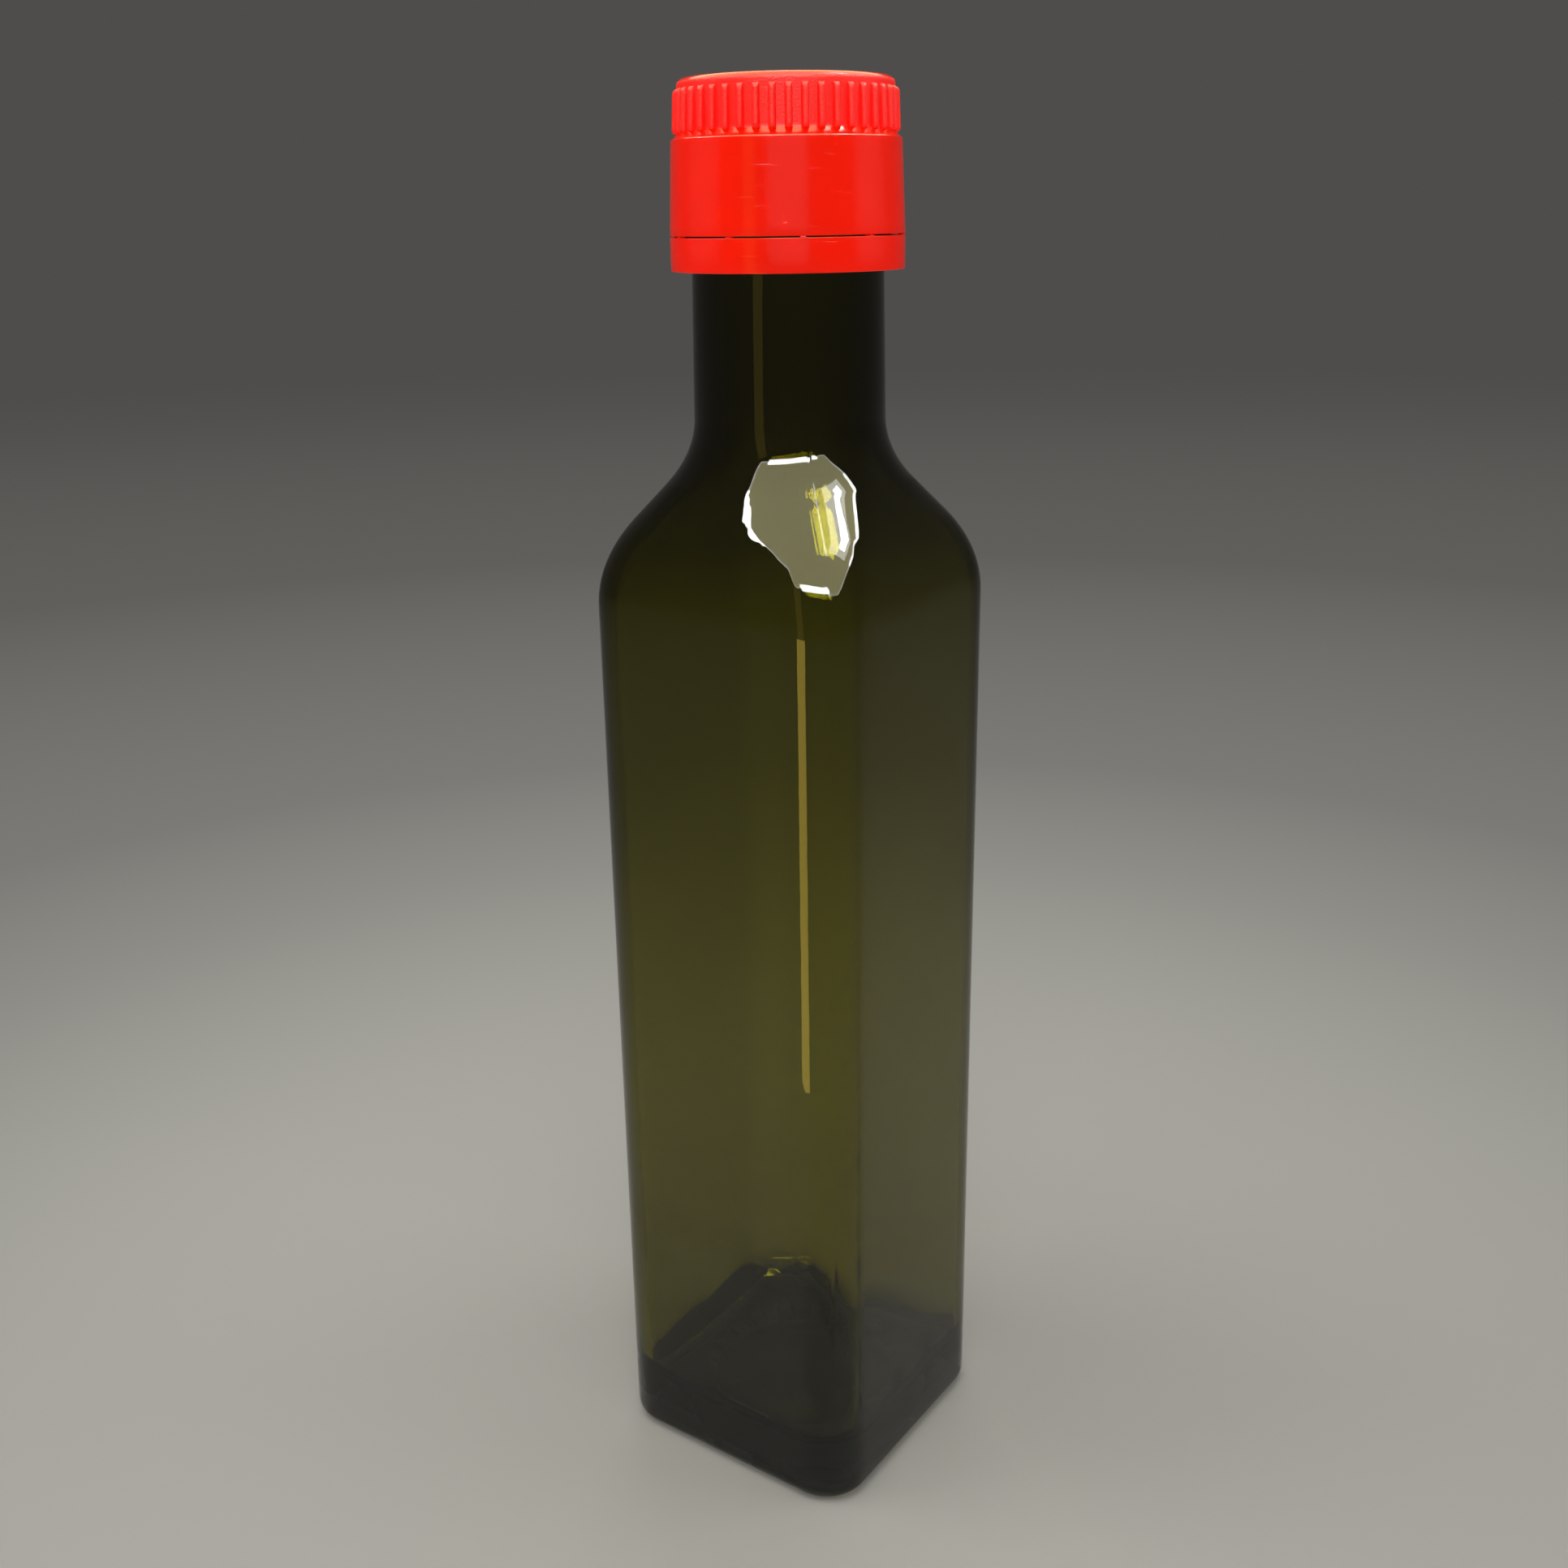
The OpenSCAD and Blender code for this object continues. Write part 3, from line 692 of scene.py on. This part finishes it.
def make_liner(foam):
    radius, low, high, soft = LINER_HIGH.x, LINER_LOW.z, LINER_HIGH.z, 0.15 * MM
    outline = [(0, low), (radius / 2, low)] + arc(radius - soft, low + soft, soft, -90, 0, 3)
    outline += arc(radius - soft, high - soft, soft, 0, 90, 3) + [(radius / 2, high), (0, high)]
    bm = bmesh.new()
    lathe(bm, outline, steps=96, closed=False)
    make_piece("sealing_disc", bm, [foam], "seal", "cap_liner")


# ---------------------------------------------------------------- studio
AIM = Vector((0, 0, 110 * MM))
# The camera: which way round the bottle it stands, how far off and how high, and how it is tilted.
CAMERA_TURN = math.radians(34.83)
CAMERA_REACH = 252.2 * MM
CAMERA_Z = 202.6 * MM
CAMERA_TILT = math.radians(-18.96)
CAMERA_PAN = math.radians(0.39)
CAMERA_ROLL = math.radians(-0.87)
CAMERA_LENS = 38.35


def make_camera():
    data = bpy.data.cameras.new("camera")
    data.sensor_width = 36
    data.lens = CAMERA_LENS
    data.clip_start, data.clip_end = 0.01, 50
    camera = bpy.data.objects.new("camera", data)
    stand = Vector((CAMERA_REACH * math.sin(CAMERA_TURN), -CAMERA_REACH * math.cos(CAMERA_TURN), CAMERA_Z))
    camera.matrix_world = (Matrix.Translation(stand) @ Matrix.Rotation(CAMERA_TURN + CAMERA_PAN, 4, "Z")
                           @ Matrix.Rotation(math.pi / 2 + CAMERA_TILT, 4, "X")
                           @ Matrix.Rotation(CAMERA_ROLL, 4, "Z"))
    bpy.context.scene.collection.objects.link(camera)
    bpy.context.scene.camera = camera


def add_lamp(name, place, size, radiance, aim=None, hidden_from=(), colour="ffffff"):
    """A flat soft lamp. Its place is (right, away, up) as the camera sees them from the bottle's axis; it
    faces straight down, or its aim. It gives no light to the kinds of ray that it is hidden from."""
    data = bpy.data.lights.new(name, "AREA")
    data.shape = "RECTANGLE"
    data.size, data.size_y = size
    data.energy = radiance * math.pi * size[0] * size[1]
    data.color = linear(colour)[:3]
    lamp = bpy.data.objects.new(name, data)
    spot = Matrix.Rotation(CAMERA_TURN, 4, "Z") @ Vector(place)
    facing = Matrix.Rotation(CAMERA_TURN, 4, "Z")
    if aim is not None:
        facing = (spot - facing @ aim).to_track_quat("Z", "Y").to_matrix().to_4x4()
    lamp.matrix_world = Matrix.Translation(spot) @ facing
    for kind in hidden_from:
        setattr(lamp, "visible_" + kind, False)
    bpy.context.scene.collection.objects.link(lamp)


def make_lamps():
    """A key soft box over the bottle and faint fill from four sides, which shape the plastic and the
    floor. The rest shows in gloss or glass alone: overhead a warm panel in a frame of strips with a spot
    beside it and the glow of a louvre, and low in front a tall warm strip. Lengths are in metres."""
    unseen = ("glossy", "transmission")
    add_lamp("key_softbox", (-0.15, -0.1, 0.75), (0.9, 0.7), 2, hidden_from=unseen)
    fill_reach, fill_z = 1.2, 0.3
    for right, away, radiance in ((0, -1, 7), (-1, 0, 5), (1, 0, 5), (0, 1, 4)):
        add_lamp("fill", (fill_reach * right, fill_reach * away, fill_z), (0.8, 0.5), radiance, AIM, unseen)
    only_gloss = ("diffuse", "transmission")
    # The panel's edges as the camera sees them, and its height.
    left, right, near, far, rig_z = -0.49, 0.49, -0.56, 0.5, 0.58
    middle, mid_away, wide, deep = (left + right) / 2, (near + far) / 2, right - left, far - near
    strip_z, rim = rig_z - 0.005, 0.022
    add_lamp("ceiling_panel", (middle, mid_away, rig_z), (wide, deep), 3.8, None, only_gloss, "fff8bc")
    add_lamp("near_strip", (middle, near, strip_z), (0.7, 0.12), 25, None, ("diffuse",))
    add_lamp("left_strip", (left, 0.05, strip_z), (0.04, 0.4), 25, None, only_gloss)
    add_lamp("right_strip", (right, 0.1, strip_z), (0.05, 0.45), 18, None, only_gloss)
    for edge in (left, right):
        add_lamp("thin_strip", (edge, mid_away, strip_z), (rim, deep), 7, None, only_gloss)
    for edge in (near, far):
        add_lamp("thin_strip", (middle, edge, strip_z), (wide, rim), 7, None, only_gloss)
    # A tall warm strip in front and to the left, which draws a line down the corner and up the neck.
    for height, wide_strip, radiance in ((0.06, 0.045, 3.6), (0.18, 0.03, 0.4)):
        add_lamp("side_strip", (-0.092, -0.131, height), (wide_strip, 0.12), radiance,
                 Vector((0, 0, height)), ("camera", "diffuse", "transmission"), "ffdc5c")
    add_lamp("spot", (0.285, -0.03, strip_z), (0.08, 0.09), 30, None, only_gloss)
    add_lamp("spot_halo", (0.26, -0.03, strip_z - 0.005), (0.2, 0.2), 6, None, only_gloss)
    add_lamp("louvre_glow", (0.17, 0.02, strip_z), (0.22, 0.14), 150, None, ("diffuse", "glossy"))


def make_sweep(paper):
    """The floor, which curves up into a backdrop on every side."""
    flat_r, bend_r, wall_h, bend_steps = 1.5, 2.0, 1.0, 24
    outline = [(r, 0.0) for r in (0.0, 0.2, 0.8)]
    outline += [(flat_r + bend_r * math.sin(a), bend_r * (1 - math.cos(a)))
                for a in (math.pi / 2 * i / bend_steps for i in range(bend_steps + 1))]
    outline += [(flat_r + bend_r, bend_r + wall_h)]
    bm = bmesh.new()
    lathe(bm, outline, steps=96, closed=False)
    finish_mesh("paper_sweep", bm, [paper])


def make_world():
    world = bpy.data.worlds.new("studio_air")
    world.use_nodes = True
    world.node_tree.nodes.clear()
    air = add_node(world.node_tree, "ShaderNodeBackground", {"Color": linear("e6e8ec"), "Strength": 0.12})
    add_node(world.node_tree, "ShaderNodeOutputWorld", None, {"Surface": air.outputs["Background"]})
    bpy.context.scene.world = world


make_camera()
make_lamps()
make_world()
make_sweep(studio_paper())
bpy.context.scene.view_settings.view_transform = "Standard"

polished_red = red_polypropylene("red_polypropylene_polished", grained=False)
grained_red = red_polypropylene("red_polypropylene_spark_grained", grained=True)
make_bottle(green_bottle_glass())
make_cap(polished_red, grained_red)
make_band(polished_red)
make_pourer(natural_polyethylene())
make_liner(liner_foam())
